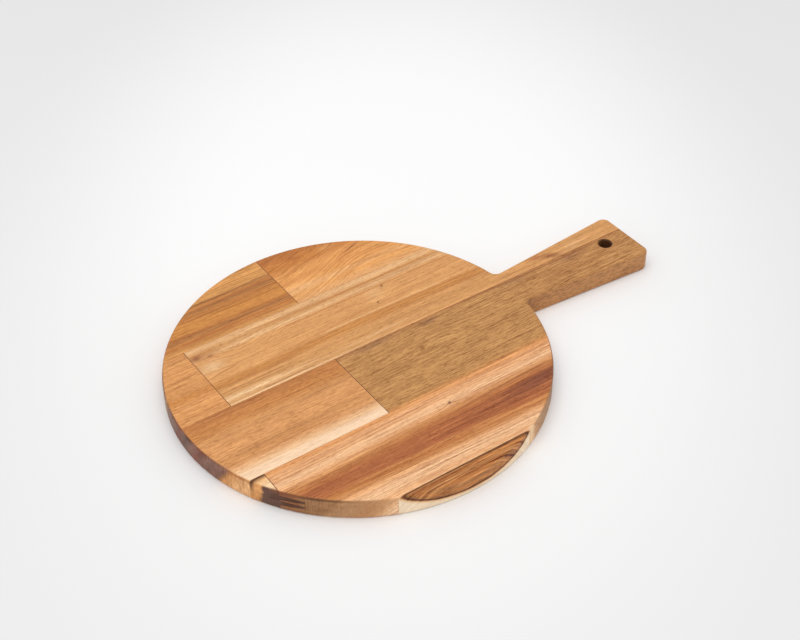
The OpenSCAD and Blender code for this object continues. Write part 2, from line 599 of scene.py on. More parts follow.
def woodMaterial(name, look):
    material = bpy.data.materials.new(name)
    material.use_nodes = True
    tree = material.node_tree
    tree.nodes.clear()
    output = put(tree, "ShaderNodeOutputMaterial")
    coordinates = put(tree, "ShaderNodeTexCoord").outputs["Object"]
    place = vectorCalc(tree, "MULTIPLY", coordinates, (1 / mm, 1 / mm, 1 / mm))
    seed = look["seed"]
    own = vectorCalc(tree, "ADD", place, (seed * 911.0, seed * 157.0, seed * 61.0))
    x, y, z = splitAxes(tree, place)
    ownX, ownY, ownZ = splitAxes(tree, own)
    depth = calc(tree, "SUBTRACT", z, board["thickness"])

    # slow sway and closer flow of the fibres
    sway = cloud(tree, vectorCalc(tree, "MULTIPLY", own, (1 / 260, 1 / 90, 1 / 90)), 1.0)
    swayParts = splitAxes(tree, vectorCalc(tree, "SUBTRACT", sway.outputs["Color"], (0.5, 0.5, 0.5)))
    flow = cloud(tree, vectorCalc(tree, "MULTIPLY", own, (1 / 75, 1 / 20, 1 / 20)), 2.0)
    flowShare = calc(tree, "SUBTRACT", flow.outputs["Fac"], 0.5)
    moved = calc(tree, "MULTIPLY_ADD", swayParts[0], 2 * look["sway"], y)
    across = calc(tree, "MULTIPLY_ADD", flowShare, 2 * look["flow"], moved)
    sunk = calc(tree, "MULTIPLY_ADD", swayParts[1], 2 * look["sway"], depth)
    under = calc(tree, "MULTIPLY_ADD", flowShare, 1.2 * look["flow"], sunk)

    # distance through the growth rings
    if "pith" in look:
        pithY, pithZ = look["pith"]
        level = calc(tree, "ADD", under, board["thickness"] - pithZ)
        sideways = calc(tree, "SUBTRACT", across, pithY)
        squares = calc(tree, "MULTIPLY_ADD", sideways, sideways, calc(tree, "MULTIPLY", level, level))
        band = calc(tree, "SQRT", squares)
    else:
        band = calc(tree, "MULTIPLY_ADD", under, look["slant"], across)
    plain = band
    if "heart" in look:
        heart = look["heart"]
        fromHeart = calc(tree, "SUBTRACT", band, heart["y"])
        grown = rescale(tree, x, heart["from"], heart["to"], 0.0, heart["grow"], "LINEAR")
        pull = calc(tree, "MULTIPLY", grown, bell(tree, calc(tree, "DIVIDE", fromHeart, heart["reach"])))
        band = calc(tree, "MULTIPLY_ADD", fromHeart, calc(tree, "SUBTRACT", 1.0, pull), heart["y"])

    # lines of the grain, which may rise across the bands and bow round whorls and knots
    grain = calc(tree, "MULTIPLY_ADD", under, 0.3, across) if look.get("straight") else band
    if "rise" in look:
        rise, riseFrom, riseTo = look["rise"]
        lifted = rescale(tree, x, riseFrom, riseTo, 0.0, rise * (riseTo - riseFrom), "SMOOTHSTEP")
        grain = calc(tree, "SUBTRACT", grain, lifted)
    for whorl in look.get("whorls", []):
        shares = turnedShares(tree, x, across, whorl["at"], whorl["size"], whorl.get("turn", 0))
        grain = calc(tree, "MULTIPLY_ADD", bell(tree, *shares), whorl["push"], grain)
    for knot in look["knots"]:
        shares = turnedShares(tree, x, y, knot[:2], (9.0, 3.5), 0)
        side = calc(tree, "MULTIPLY", bell(tree, *shares), 2.2 * knot[2])
        grain = calc(tree, "MULTIPLY_ADD", calc(tree, "SIGN", shares[1]), side, grain)
    followed = calc(tree, "SUBTRACT", grain, band)
    toneAt = calc(tree, "MULTIPLY_ADD", followed, look.get("follow", 0.0), band)
    colour = toneRamp(tree, toneAt, look["bands"])

    # patches of stain or figure that lie in the face
    spread = calc(tree, "MULTIPLY_ADD", flowShare, 10.0, x)
    for patch in look.get("patches", []):
        share = patchShare(tree, patch, spread, across, depth)
        colour = blend(tree, share, colour, toneColour(patch["tone"]))

    # broad streaks, fine lines, single strands and fibres
    streak = grainCloud(tree, ownX, grain, grainSizes["streak"], seed * 1.7, 2.0)
    line = grainCloud(tree, ownX, grain, grainSizes["line"], seed * 2.9, 3.0, 0.65)
    strand = grainCloud(tree, ownX, grain, grainSizes["strand"], seed * 3.3, 2.0, 0.6)
    fibreLength, fibreWidth = grainSizes["fibre"]
    fibreSizes = (look.get("fibreLength", fibreLength), fibreWidth)
    fibre = grainCloud(tree, ownX, grain, fibreSizes, calc(tree, "DIVIDE", under, 1.2), 2.0, 0.6)
    fleckAt = calc(tree, "DIVIDE", under, grainSizes["fleck"][1])
    fleck = grainCloud(tree, ownX, grain, grainSizes["fleck"], fleckAt, 1.0)
    mottleAt = calc(tree, "DIVIDE", under, grainSizes["mottle"][1])
    mottle = grainCloud(tree, ownX, grain, grainSizes["mottle"], mottleAt, 2.0)
    dark = rescale(tree, strand, 0.54, 0.72)
    light = rescale(tree, strand, 0.46, 0.28)
    shade = calc(tree, "MULTIPLY", calc(tree, "SUBTRACT", light, dark), look["strand"])
    layers = ((streak, "streak"), (line, "line"), (fibre, "fibre"), (fleck, "fleck"), (mottle, "mottle"))
    for layer, key in layers:
        shade = calc(tree, "MULTIPLY_ADD", calc(tree, "SUBTRACT", layer, 0.5), look[key], shade)
    if "calm" in look:
        calmed = rescale(tree, band, *look["calm"])
        shade = calc(tree, "MULTIPLY", shade, calmed)
    tint = look.get("tint", (1.0, 1.0, 1.0))
    lift = vectorCalc(tree, "MULTIPLY_ADD", joinAxes(tree, shade, shade, shade), oil["shadeTint"], tint)
    colour = vectorCalc(tree, "MULTIPLY", colour, lift)

    # thin dark veins that follow the grain, and the lines that show by themselves
    veinNoise = grainCloud(tree, ownX, grain, grainSizes["vein"], seed * 4.3, 1.0)
    veinGap = calc(tree, "ABSOLUTE", calc(tree, "SUBTRACT", veinNoise, 0.5))
    veinHere = rescale(tree, line, 0.62, 0.40)
    vein = calc(tree, "MULTIPLY", rescale(tree, veinGap, 0.0, 0.022, look["vein"], 0.0), veinHere)
    if "calm" in look:
        vein = calc(tree, "MULTIPLY", vein, calmed)
    colour = blend(tree, vein, colour, toneColour(look.get("veinTone", "umber")))
    for trace in look.get("traces", []):
        colour = blend(tree, traceShare(tree, trace, x, plain, fibre), colour, toneColour(trace["tone"]))

    # open pores, short dark dashes along the grain
    poreLength, poreWidth = grainSizes["pore"]
    poreSizes = (look.get("poreLength", poreLength), poreWidth)
    pore = grainCloud(tree, ownX, grain, poreSizes, calc(tree, "DIVIDE", under, poreWidth), 1.0)
    pore = rescale(tree, pore, 0.56, 0.70)
    if "calm" in look:
        pore = calc(tree, "MULTIPLY", pore, calmed)
    colour = blend(tree, calc(tree, "MULTIPLY", pore, look["pore"]), colour, oil["poreTint"], "MULTIPLY")

    # knots
    for knot in look["knots"]:
        size = (1.7 * knot[2], 1.1 * knot[2])
        shares = turnedShares(tree, calc(tree, "MULTIPLY_ADD", flowShare, 2.0, x), y, knot[:2], size, 35)
        core = bell(tree, *shares, calc(tree, "DIVIDE", depth, 7.0))
        colour = blend(tree, calc(tree, "MULTIPLY", core, 0.85), colour, toneColour("bark"))

    # end grain round the rim: blotches, and strokes left by the sander
    blotch = grainCloud(tree, ownY, ownZ, grainSizes["blotch"], seed * 5.1, 3.0)
    roundRim = calc(tree, "MULTIPLY", calc(tree, "ARCTAN2", y, x), board["radius"])
    stroke = grainCloud(tree, roundRim, ownZ, grainSizes["stroke"], seed * 6.7, 2.0, 0.6)
    endAt = calc(tree, "MULTIPLY_ADD", calc(tree, "SUBTRACT", blotch, 0.5), 5.0, band)
    endColour = toneRamp(tree, endAt, look["endBands"])
    endShade = calc(tree, "MULTIPLY", calc(tree, "SUBTRACT", blotch, 0.5), 1.3)
    strokeShade = calc(tree, "MULTIPLY", calc(tree, "SUBTRACT", stroke, 0.5), look.get("stroke", 0.9))
    endShade = calc(tree, "ADD", strokeShade, endShade)
    endLift = joinAxes(tree, endShade, endShade, endShade)
    endLift = vectorCalc(tree, "MULTIPLY_ADD", endLift, oil["shadeTint"], (1.0, 1.0, 1.0))
    endColour = vectorCalc(tree, "MULTIPLY", endColour, endLift)
    normal = splitAxes(tree, put(tree, "ShaderNodeNewGeometry").outputs["Normal"])
    endShare = rescale(tree, calc(tree, "ABSOLUTE", normal[0]), 0.25, 0.80)
    colour = blend(tree, endShare, colour, endColour)
    onRim = rescale(tree, normal[2], 0.95, 0.45)
    # stains on the face and rim, and painted shade in the crevice of the neck fillet
    for stainOrShade in look.get("stainsAndShade", []):
        share = patchShare(tree, stainOrShade, x, y, depth)
        if stainOrShade.get("rim"):
            share = calc(tree, "MULTIPLY", share, onRim)
        colour = blend(tree, share, colour, toneColour(stainOrShade["tone"]))
    if "side" in look:
        side = look["side"]
        speckNoise = grainCloud(tree, ownX, ownZ, side["speck"], seed * 7.9, 2.0, 0.6)
        speck = calc(tree, "MULTIPLY_ADD", calc(tree, "SUBTRACT", speckNoise, 0.5), side["contrast"], 1.0)
        specks = joinAxes(tree, speck, speck, speck)
        speckled = vectorCalc(tree, "MULTIPLY", toneColour(side["tone"])[:3], specks)
        facing = rescale(tree, normal[1], -0.3, -0.9, 0.0, side["amount"])
        colour = blend(tree, facing, colour, speckled)

    # wall of the hole: painted shade, a dark tone on the wall and its eased edge, stronger towards +x
    if "holeShade" in look:
        holeShade = look["holeShade"]
        axis = joinAxes(tree, *board["hole"], z)
        away = put(tree, "ShaderNodeVectorMath", {0: place, 1: axis}, operation="DISTANCE").outputs["Value"]
        holeShadeShare = rescale(tree, away, holeShade["to"], holeShade["from"], 0.0, holeShade["amount"])
        holeShadeShare = calc(tree, "MULTIPLY", holeShadeShare, rescale(tree, x, *holeShade["across"], 0.3, 1.0))
        colour = blend(tree, holeShadeShare, colour, toneColour(holeShade["tone"]))

    low, high = oil["roughness"]
    roughness = rescale(tree, calc(tree, "ADD", line, pore), 0.3, 1.2, low, high, "LINEAR")
    height = calc(tree, "MULTIPLY_ADD", pore, -0.8, calc(tree, "MULTIPLY", fibre, 0.7))
    bump = put(tree, "ShaderNodeBump", {
        "Strength": oil["bumpStrength"],
        "Distance": oil["bumpDepth"],
        "Height": height,
    })
    shader = put(tree, "ShaderNodeBsdfPrincipled", {
        "Base Color": colour,
        "Roughness": roughness,
        "Normal": bump.outputs[0],
        "Specular IOR Level": oil["specular"],
    })
    tree.links.new(shader.outputs[0], output.inputs[0])
    return material


def addStave(look, outline, withHole=False):
    node = look["node"]
    name = node + ".wood"
    mesh = staveMesh(name, look, outline, withHole)
    mesh.materials.append(woodMaterial(look["slot"], look))
    piece = bpy.data.objects.new(name, mesh)
    bpy.context.scene.collection.objects.link(piece)
    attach(piece, "root")
    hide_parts(node)
    print("stave", node, len(mesh.vertices), "points")
    return piece


def rowOf(node):
    low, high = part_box(node)
    return low.y / mm, high.y / mm


def jointOf(rightNode):
    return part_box(rightNode)[0].x / mm - board["tipGlue"]


# Rear row, left: brown and gold stripes
rearLeft = {
    "node": "rear_left_stave",
    "slot": "wood_brown",
    "seed": 1,
    "row": rowOf("rear_left_stave"),
    "jointX": jointOf("rear_right_stave"),
    "knots": [],
    "sway": 2.5,
    "flow": 1.0,
    "slant": 0.3,
    "bands": [(88, "honey"), (93, "tan"), (97, "clay"), (101, "clay"), (104, "nut"), (108, "clay"),
              (113, "amber"), (118, "amber"), (124, "amber"), (128, "clay"), (133, "nut"), (137, "clay"),
              (141, "nut"), (144, "tan"), (149, "tan"), (154, "honey"), (168, "tan")],
    "endBands": [(88, "clay"), (110, "russet"), (140, "nut"), (168, "clay")],
    "traces": [
        {"from": (-85, 141), "to": (0, 142.5), "width": 0.9, "tone": "umber", "amount": 0.6},
        {"from": (-95, 134), "to": (0, 136), "width": 1.6, "tone": "russet", "amount": 0.45},
        {"from": (-100, 124.5), "to": (0, 126.5), "width": 0.7, "tone": "umber", "amount": 0.4},
        {"from": (-130, 109), "to": (-85, 107.5), "width": 1.5, "tone": "umber", "amount": 0.5},
        {"from": (-100, 102), "to": (0, 105), "width": 1.0, "tone": "umber", "amount": 0.55},
        {"from": (-120, 98.5), "to": (0, 100), "width": 0.9, "tone": "russet", "amount": 0.6},
        {"from": (-125, 94.5), "to": (0, 95.5), "width": 0.6, "tone": "umber", "amount": 0.4},
    ],
    "streak": 0.35,
    "line": 0.65,
    "strand": 0.24,
    "fibre": 0.70,
    "fleck": 0.45,
    "mottle": 0.30,
    "vein": 0.45,
    "pore": 0.45,
    "poreLength": 5.0,
    "tint": (1.03, 1.05, 0.97),
}
addStave(rearLeft, rearLeftOutline)

# Rear row, right: orange flame
rearRight = {
    "node": "rear_right_stave",
    "slot": "wood_orange",
    "seed": 2,
    "row": rowOf("rear_right_stave"),
    "jointX": jointOf("rear_right_stave"),
    "knots": [],
    "sway": 3.0,
    "flow": 1.6,
    "slant": 0.5,
    "rise": (0.28, -10.0, 90.0),
    "whorls": [{"at": (58, 145), "size": (24, 9), "push": 9.0, "turn": 10}],
    "bands": [(80, "straw"), (94, "straw"), (101, "apricot"), (107, "straw"), (114, "apricot"),
              (122, "honey"), (128, "apricot"), (134, "honey"), (140, "amber"), (147, "amber"),
              (153, "clay"), (168, "clay")],
    "endBands": [(88, "honey"), (120, "amber"), (168, "russet")],
    "patches": [
        {"at": (28, 148), "size": (9, 3), "turn": -12, "tone": "russet", "amount": 0.6},
        {"at": (60, 144), "size": (8, 4), "tone": "straw", "amount": 0.5},
        {"at": (102, 120), "size": (14, 3), "turn": -30, "tone": "khaki", "amount": 0.5},
        {"at": (12, 107), "size": (26, 7), "tone": "sand", "amount": 0.45},
    ],
    "traces": [
        {"from": (70, 127.5), "to": (95, 136), "width": 1.1, "tone": "umber", "amount": 0.8},
        {"from": (58, 126), "to": (88, 132), "width": 0.8, "tone": "russet", "amount": 0.6},
        {"from": (-2, 156), "to": (30, 160), "width": 1.4, "tone": "russet", "amount": 0.6},
        {"from": (-2, 131), "to": (35, 144), "width": 1.2, "tone": "clay", "amount": 0.6},
        {"from": (-2, 125), "to": (45, 139), "bow": 2, "width": 1.0, "tone": "clay", "amount": 0.5},
        {"from": (-2, 136), "to": (28, 148), "width": 1.0, "tone": "russet", "amount": 0.5},
        {"from": (60, 112), "to": (130, 101), "width": 1.0, "tone": "clay", "amount": 0.5},
    ],
    "streak": 0.18,
    "line": 0.60,
    "strand": 0.22,
    "fibre": 0.65,
    "fleck": 0.45,
    "mottle": 0.35,
    "vein": 0.35,
    "veinTone": "russet",
    "pore": 0.40,
    "poreLength": 5.0,
    "tint": (0.99, 0.925, 0.84),
}
addStave(rearRight, rearRightOutline)

# Second row, left: straight fine grain
secondLeft = {
    "node": "second_left_stave",
    "slot": "wood_amber",
    "seed": 3,
    "row": rowOf("second_left_stave"),
    "jointX": jointOf("second_handle_stave"),
    "knots": [],
    "sway": 1.4,
    "flow": 0.6,
    "slant": 0.6,
    "bands": [(-4, "honey"), (18, "honey"), (26, "honey"), (33, "honey"), (40, "amber"), (46, "tan"),
              (52, "honey"), (58, "tan"), (66, "honey"), (76, "honey"), (83, "tan"), (92, "honey")],
    "endBands": [(-4, "plum"), (10, "maroon"), (20, "plum"), (34, "plum"), (46, "drab"), (60, "plum"),
                 (92, "nut")],
    "traces": [
        {"from": (-142, 82.3), "to": (-118, 83), "width": 0.7, "tone": "umber", "amount": 0.6},
        {"from": (-152, 60.6), "to": (-118, 62), "width": 0.8, "tone": "umber", "amount": 0.55},
        {"from": (-153, 55.6), "to": (-130, 56.6), "width": 0.8, "tone": "umber", "amount": 0.6},
        {"from": (-160, 31), "to": (-118, 33), "width": 0.6, "tone": "russet", "amount": 0.5},
        {"from": (-163, 17), "to": (-118, 18), "width": 0.6, "tone": "russet", "amount": 0.5},
    ],
    "streak": 0.20,
    "line": 0.50,
    "strand": 0.25,
    "fibre": 0.85,
    "fibreLength": 10.0,
    "fleck": 0.55,
    "mottle": 0.20,
    "vein": 0.30,
    "pore": 0.50,
    "poreLength": 5.0,
    "tint": (1.03, 1.03, 1.07),
}
addStave(secondLeft, leftOutline)

# Second row, out into the handle: pale tan with swirls at its left end
secondHandle = {
    "node": "second_handle_stave",
    "slot": "wood_tan",
    "seed": 4,
    "row": rowOf("second_handle_stave"),
    "jointX": jointOf("second_handle_stave"),
    "knots": [(70.9, 68.5, 1.0), (55.3, 51.1, 0.8)],
    "sway": 2.6,
    "flow": 1.3,
    "slant": 0.4,
    "whorls": [
        {"at": (-72, 68), "size": (26, 9), "push": 7.0},
        {"at": (-112, 77), "size": (10, 5), "push": 4.0},
    ],
    "bands": [(0, "honey"), (11, "honey"), (14, "tan"), (18, "honey"), (22, "tan"), (26, "tan"),
              (29, "honey"), (32, "tan"), (35, "amber"), (40, "amber"), (44, "honey"), (48, "honey"),
              (56, "honey"), (64, "honey"), (71, "honey"), (76, "straw"), (81, "tan"), (86, "straw"),
              (92, "straw")],
    "endBands": [(8, "clay"), (50, "nut"), (92, "clay")],
    "patches": [
        {"at": (-106, 76), "size": (16, 7), "tone": "clay", "amount": 0.55},
        {"at": (-112.8, 77.4), "size": (4.5, 3.2), "tone": "umber", "amount": 0.85},
        {"at": (-101, 73.8), "size": (3, 2), "tone": "umber", "amount": 0.6},
        {"at": (-108, 61), "size": (11, 6), "tone": "sand", "amount": 0.7},
        {"at": (60, 65), "size": (8, 10), "turn": -50, "tone": "straw", "amount": 0.55},
        {"at": (-104, 18.2), "size": (62, 3.0), "tone": "sand", "amount": 0.85},
        {"at": (-70, 11.3), "size": (90, 1.6), "tone": "sand", "amount": 0.8},
        {"at": (30, 17.5), "size": (40, 1.2), "tone": "sand", "amount": 0.5},
        {"at": (222, 15.0), "size": (10, 3.2), "turn": -24, "tone": "umber", "amount": 0.85},
        {"at": (207, 20.5), "size": (9, 3.0), "turn": -14, "tone": "russet", "amount": 0.8},
        {"at": (248, 16.0), "size": (14, 4.0), "turn": 6, "tone": "straw", "amount": 0.6},
    ],
    "traces": [
        {"from": (-118, 27), "to": (-55, 28.5), "width": 0.9, "tone": "umber", "amount": 0.55},
        {"from": (-118, 34.5), "to": (-40, 33), "width": 1.0, "tone": "russet", "amount": 0.5},
        {"from": (-118, 48.5), "to": (-85, 54), "width": 0.8, "tone": "umber", "amount": 0.5},
        {"from": (-92, 13), "to": (-30, 13.5), "width": 0.6, "tone": "umber", "amount": 0.6},
        {"from": (-55, 38), "to": (40, 41.5), "width": 0.9, "tone": "clay", "amount": 0.6},
        {"from": (-60, 43), "to": (45, 49.5), "width": 0.9, "tone": "clay", "amount": 0.6},
        {"from": (35, 41.2), "to": (150, 40), "width": 0.9, "tone": "clay", "amount": 0.7},
        {"from": (-10, 43.6), "to": (120, 43.4), "width": 0.8, "tone": "sand", "amount": 0.6},
        {"from": (30, 33), "to": (160, 32.5), "width": 0.9, "tone": "clay", "amount": 0.65},
        {"from": (-50, 82.5), "to": (140, 80.6), "width": 1.0, "tone": "clay", "amount": 0.7},
        {"from": (-80, 76), "to": (30, 75.5), "width": 1.0, "tone": "sand", "amount": 0.6},
        {"from": (-40, 71.5), "to": (148, 70), "width": 0.9, "tone": "clay", "amount": 0.6},
        {"from": (15, 62.3), "to": (40, 62), "width": 0.8, "tone": "clay", "amount": 0.7},
    ],
    "streak": 0.20,
    "line": 0.45,
    "strand": 0.22,
    "fibre": 0.70,
    "fleck": 0.45,
    "mottle": 0.25,
    "vein": 0.35,
    "veinTone": "russet",
    "pore": 0.45,
    "poreLength": 5.0,
    "tint": (0.985, 1.05, 1.14),
}
addStave(secondHandle, secondHandleOutline)

# Centre row, left: peach heartwood with a cream sapwood edge
centreLeft = {
    "node": "centre_left_stave",
    "slot": "wood_peach",
    "seed": 5,
    "row": rowOf("centre_left_stave"),
    "jointX": jointOf("centre_handle_stave"),
    "knots": [],
    "sway": 1.4,
    "flow": 0.7,
    "slant": 0.74,
    "calm": (-64.0, -50.0, 0.5, 1.0),
    "bands": [(-86, "cream"), (-63, "cream"), (-59, "sand"), (-55, "straw"), (-49, "honey"),
              (-42, "tan"), (-35, "honey"), (-24, "honey"), (-16, "tan"), (-6, "amber"), (11, "clay")],
    "endBands": [(-86, "straw"), (-68, "straw"), (-58, "honey"), (-54, "nut"), (-51, "plum"),
                 (-42, "plum"), (-32, "plum"), (-22, "maroon"), (-12, "plum"), (-2, "dusk"),
                 (11, "plum")],
    "traces": [
        {"from": (-160, 4), "to": (-80, 3), "width": 0.8, "tone": "russet", "amount": 0.5},
        {"from": (-150, -44), "to": (-60, -45), "width": 0.9, "tone": "clay", "amount": 0.5},
        {"from": (-75, -51), "to": (-20, -52), "width": 0.9, "tone": "clay", "amount": 0.45},
    ],
    "stainsAndShade": [
        {"at": (-152.5, -62), "size": (14, 2), "turn": -67,
         "tone": "russet", "amount": 0.8, "depth": 1.6, "sink": 1.5, "rim": True},
    ],
    "streak": 0.16,
    "line": 0.45,
    "strand": 0.24,
    "fibre": 0.95,
    "fleck": 0.5,
    "stroke": 1.4,
    "mottle": 0.25,
    "vein": 0.20,
    "pore": 0.60,
    "poreLength": 6.0,
    "tint": (0.98, 0.99, 1.10),
}
addStave(centreLeft, leftOutline)

# Centre row, out into the handle: grey-brown with long pores
centreHandle = {
    "node": "centre_handle_stave",
    "slot": "wood_khaki",
    "seed": 6,
    "row": rowOf("centre_handle_stave"),
    "jointX": jointOf("centre_handle_stave"),
    "knots": [],
    "sway": 1.8,
    "flow": 1.3,
    "slant": 0.5,
    "whorls": [{"at": (70, -16), "size": (34, 9), "push": -8.0}],
    "bands": [(-83, "khaki"), (-70, "tan"), (-66, "khaki"), (-52, "khaki"), (-36, "khaki"),
              (-24, "khaki"), (-12, "khaki"), (-1, "khaki"), (5, "khaki"), (9, "nut"), (11, "nut")],
    "endBands": [(-83, "nut"), (-30, "nut"), (11, "nut")],
    "patches": [
        {"at": (235, -8), "size": (75, 24), "tone": "nut", "amount": 0.5},
        {"at": (20, 5), "size": (20, 3), "tone": "plum", "amount": 0.45},
        {"at": (75, 3), "size": (9, 3), "tone": "plum", "amount": 0.5},
        {"at": (170, 4), "size": (14, 3), "tone": "plum", "amount": 0.35},
        {"at": (235, 3), "size": (14, 4), "tone": "plum", "amount": 0.35},
    ],
    "traces": [
        {"from": (95, 8), "to": (170, 7), "width": 0.8, "tone": "umber", "amount": 0.6},
        {"from": (170, 7), "to": (260, 6), "width": 0.8, "tone": "umber", "amount": 0.5},
    ],
    # painted shade on the wall of the hole
    "holeShade": {"from": 6.7, "to": 7.6, "across": (266.0, 278.0), "tone": "bark", "amount": 0.9},
    "side": {"tone": "rose", "amount": 0.55, "speck": (4.5, 1.8), "contrast": 2.4},
    "stainsAndShade": [
        # painted shade: a dark tone in the crevice of the neck fillet, where the handle meets the rim
        {"at": (169, -25), "size": (5, 4), "tone": "bark", "amount": 0.6, "depth": 30.0, "rim": True},
    ],
    "streak": 0.16,
    "line": 0.65,
    "strand": 0.34,
    "fibre": 1.2,
    "fleck": 0.7,
    "mottle": 0.55,
    "vein": 0.15,
    "pore": 0.70,
    "poreLength": 6.0,
    "fibreLength": 14.0,
    "tint": (0.975, 0.97, 0.98),
}
addStave(centreHandle, centreHandleOutline, withHole=True)

# Fourth row, left: small cream end with dark heart below
fourthLeft = {
    "node": "fourth_left_stave",
    "slot": "wood_pale",
    "seed": 7,
    "row": rowOf("fourth_left_stave"),
    "jointX": jointOf("fourth_right_stave"),
    "knots": [],
    "sway": 0.8,
    "flow": 0.6,
    "slant": 0.1,
    "bands": [(-100, "sand"), (-84, "cream"), (-78, "sand"), (-75, "straw"), (-69, "tan")],
    "endBands": [(-100, "dusk"), (-82, "dusk"), (-79.5, "honey"), (-72, "honey"), (-69, "umber")],
    "stainsAndShade": [
        {"at": (-141, -72), "size": (13, 2.0), "tone": "bark", "amount": 0.95, "depth": 3.0},
        {"at": (-149, -72.6), "size": (5, 2.2), "tone": "bark", "amount": 0.9, "depth": 9.0},
        {"at": (-137, -92), "size": (5, 2.5), "turn": -50, "tone": "umber", "amount": 0.75, "depth": 3.0},
        {"at": (-129, -102.5), "size": (12, 5), "turn": -51,
         "tone": "bark", "amount": 0.7, "depth": 30.0, "rim": True},
    ],
    "streak": 0.16,
    "line": 0.45,
    "strand": 0.15,
    "fibre": 0.70,
    "fleck": 0.6,
    "stroke": 1.4,
    "mottle": 0.25,
    "vein": 0.25,
    "pore": 0.50,
}
addStave(fourthLeft, fourthLeftOutline)

# Fourth row, right: red heart that opens to the right between pale edges
fourthRight = {
    "node": "fourth_right_stave",
    "slot": "wood_red",
    "seed": 8,
    "row": rowOf("fourth_right_stave"),
    "jointX": jointOf("fourth_right_stave"),
    "knots": [(30.2, -89.3, 1.2)],
    "sway": 1.6,
    "flow": 0.7,
    "slant": 0.59,
    "heart": {"y": -114.0, "reach": 20.0, "from": -100.0, "to": 110.0, "grow": 0.62},
    "bands": [(-166, "cream"), (-156, "sand"), (-149, "straw"), (-144, "sand"), (-138, "sand"),
              (-133, "straw"), (-128, "tan"), (-124, "amber"), (-119, "russet"), (-114, "russet"),
              (-109, "russet"), (-105, "clay"), (-99, "tan"), (-94, "straw"), (-89, "sand"),
              (-84, "straw"), (-79, "straw"), (-74, "honey"), (-69, "honey")],
    "endBands": [(-166, "ivory"), (-160, "cream"), (-155, "straw"), (-152, "drab"), (-133, "drab"),
                 (-122, "drab"), (-112, "drab"), (-107, "drab"), (-101, "plum"), (-92, "umber"),
                 (-69, "umber")],
    "patches": [
        {"at": (112, -114), "size": (38, 11), "turn": 2, "tone": "russet", "amount": 0.7},
        {"at": (100, -109), "size": (38, 7), "turn": 5, "tone": "umber", "amount": 0.8},
        {"at": (112, -108), "size": (26, 3.6), "turn": 5, "tone": "maroon", "amount": 0.65},
    ],
    "stainsAndShade": [
        {"at": (-117, -116), "size": (36, 8), "turn": -45,
         "tone": "bark", "amount": 0.8, "depth": 1.3, "sink": 1.3, "rim": True},
        {"at": (-131, -100), "size": (14, 8), "turn": -52,
         "tone": "umber", "amount": 0.7, "depth": 30.0, "rim": True},
        {"at": (-86, -141), "size": (17, 5), "turn": -31,
         "tone": "nut", "amount": 0.5, "depth": 30.0, "rim": True},
        {"at": (92, -137), "size": (24, 7), "turn": 34,
         "tone": "drab", "amount": 0.75, "depth": 30.0, "rim": True},
        {"at": (67.5, -150.4), "size": (4, 2), "turn": 24, "tone": "cream", "amount": 0.9, "depth": 30.0},
        {"at": (133, -98), "size": (26, 8), "turn": 53,
         "tone": "maroon", "amount": 0.95, "depth": 30.0, "rim": True},
    ],
    "traces": [
        {"from": (-40, -107), "to": (45, -99), "width": 0.9, "tone": "russet", "amount": 0.7},
        {"from": (30, -100.5), "to": (128, -95.5), "bow": 1, "width": 0.9,
         "tone": "umber", "amount": 0.75},
        {"from": (-90, -122), "to": (60, -124), "width": 0.8, "tone": "honey", "amount": 0.6},
        {"from": (-80, -126), "to": (110, -130.5), "width": 0.9, "tone": "russet", "amount": 0.7},
        {"from": (-60, -129), "to": (60, -132.5), "width": 1.0, "tone": "clay", "amount": 0.6},
        {"from": (20, -127), "to": (110, -127.5), "width": 0.6, "tone": "straw", "amount": 0.5},
        {"from": (-110, -82), "to": (20, -80), "width": 0.7, "tone": "russet", "amount": 0.5},
        {"from": (0, -77.5), "to": (150, -77), "width": 0.8, "tone": "russet", "amount": 0.5},
        {"from": (-60, -97), "to": (-5, -95), "width": 0.9, "tone": "russet", "amount": 0.55},
        {"from": (70, -106), "to": (128, -105), "width": 0.8, "tone": "maroon", "amount": 0.7},
        {"from": (75, -113.5), "to": (122, -114.5), "width": 0.9, "tone": "maroon", "amount": 0.7},
    ],
    "streak": 0.22,
    "line": 0.80,
    "strand": 0.38,
    "fibre": 0.85,
    "fleck": 0.5,
    "stroke": 1.5,
    "mottle": 0.20,
    "vein": 0.45,
    "veinTone": "russet",
    "pore": 0.50,
    "poreLength": 5.0,
    "tint": (1.0, 0.96, 1.05),
}
addStave(fourthRight, fourthRightOutline)

# Front row: a lens of heartwood with a dark line round it, in cream sapwood
front = {
    "node": "front_stave",
    "slot": "wood_heart",
    "seed": 9,
    "row": rowOf("front_stave"),
    "knots": [],
    "sway": 0.6,
    "flow": 0.7,
    "pith": (-182.0, 33.0),
    "bands": [(10, "clay"), (19, "nut"), (23, "clay"), (26, "nut"), (29, "clay"), (31, "nut"),
              (32.0, "bark"), (32.7, "umber"), (33.6, "sand"), (35, "ivory"), (45, "ivory")],
    "straight": True,
    "calm": (33.8, 32.6, 0.12, 1.0),
    "endBands": [(10, "clay"), (20, "nut"), (31.2, "clay"), (32.1, "bark"), (32.8, "umber"),
                 (33.6, "sand"), (35, "ivory"), (45, "ivory")],
    "streak": 0.40,
    "line": 1.5,
    "strand": 0.75,
    "fibre": 1.4,
    "fleck": 0.7,
    "stroke": 1.9,
    "mottle": 0.50,
    "vein": 0.70,
    "pore": 0.60,
}
addStave(front, frontOutline)
print("staves done")


# Glue: a thin film, mottled where wood dust is rubbed into it
glue = {
    "patch": 6.0,
    "roughness": 0.55,
    "tones": {
        "rear_seam_glue": ("tan", "clay"),
        "handle_seam_glue": ("nut", "umber"),
        "centre_seam_glue": ("tan", "nut"),
        "front_seam_glue": ("sand", "tan"),
    },
    "jointTones": ("umber", "bark"),
}


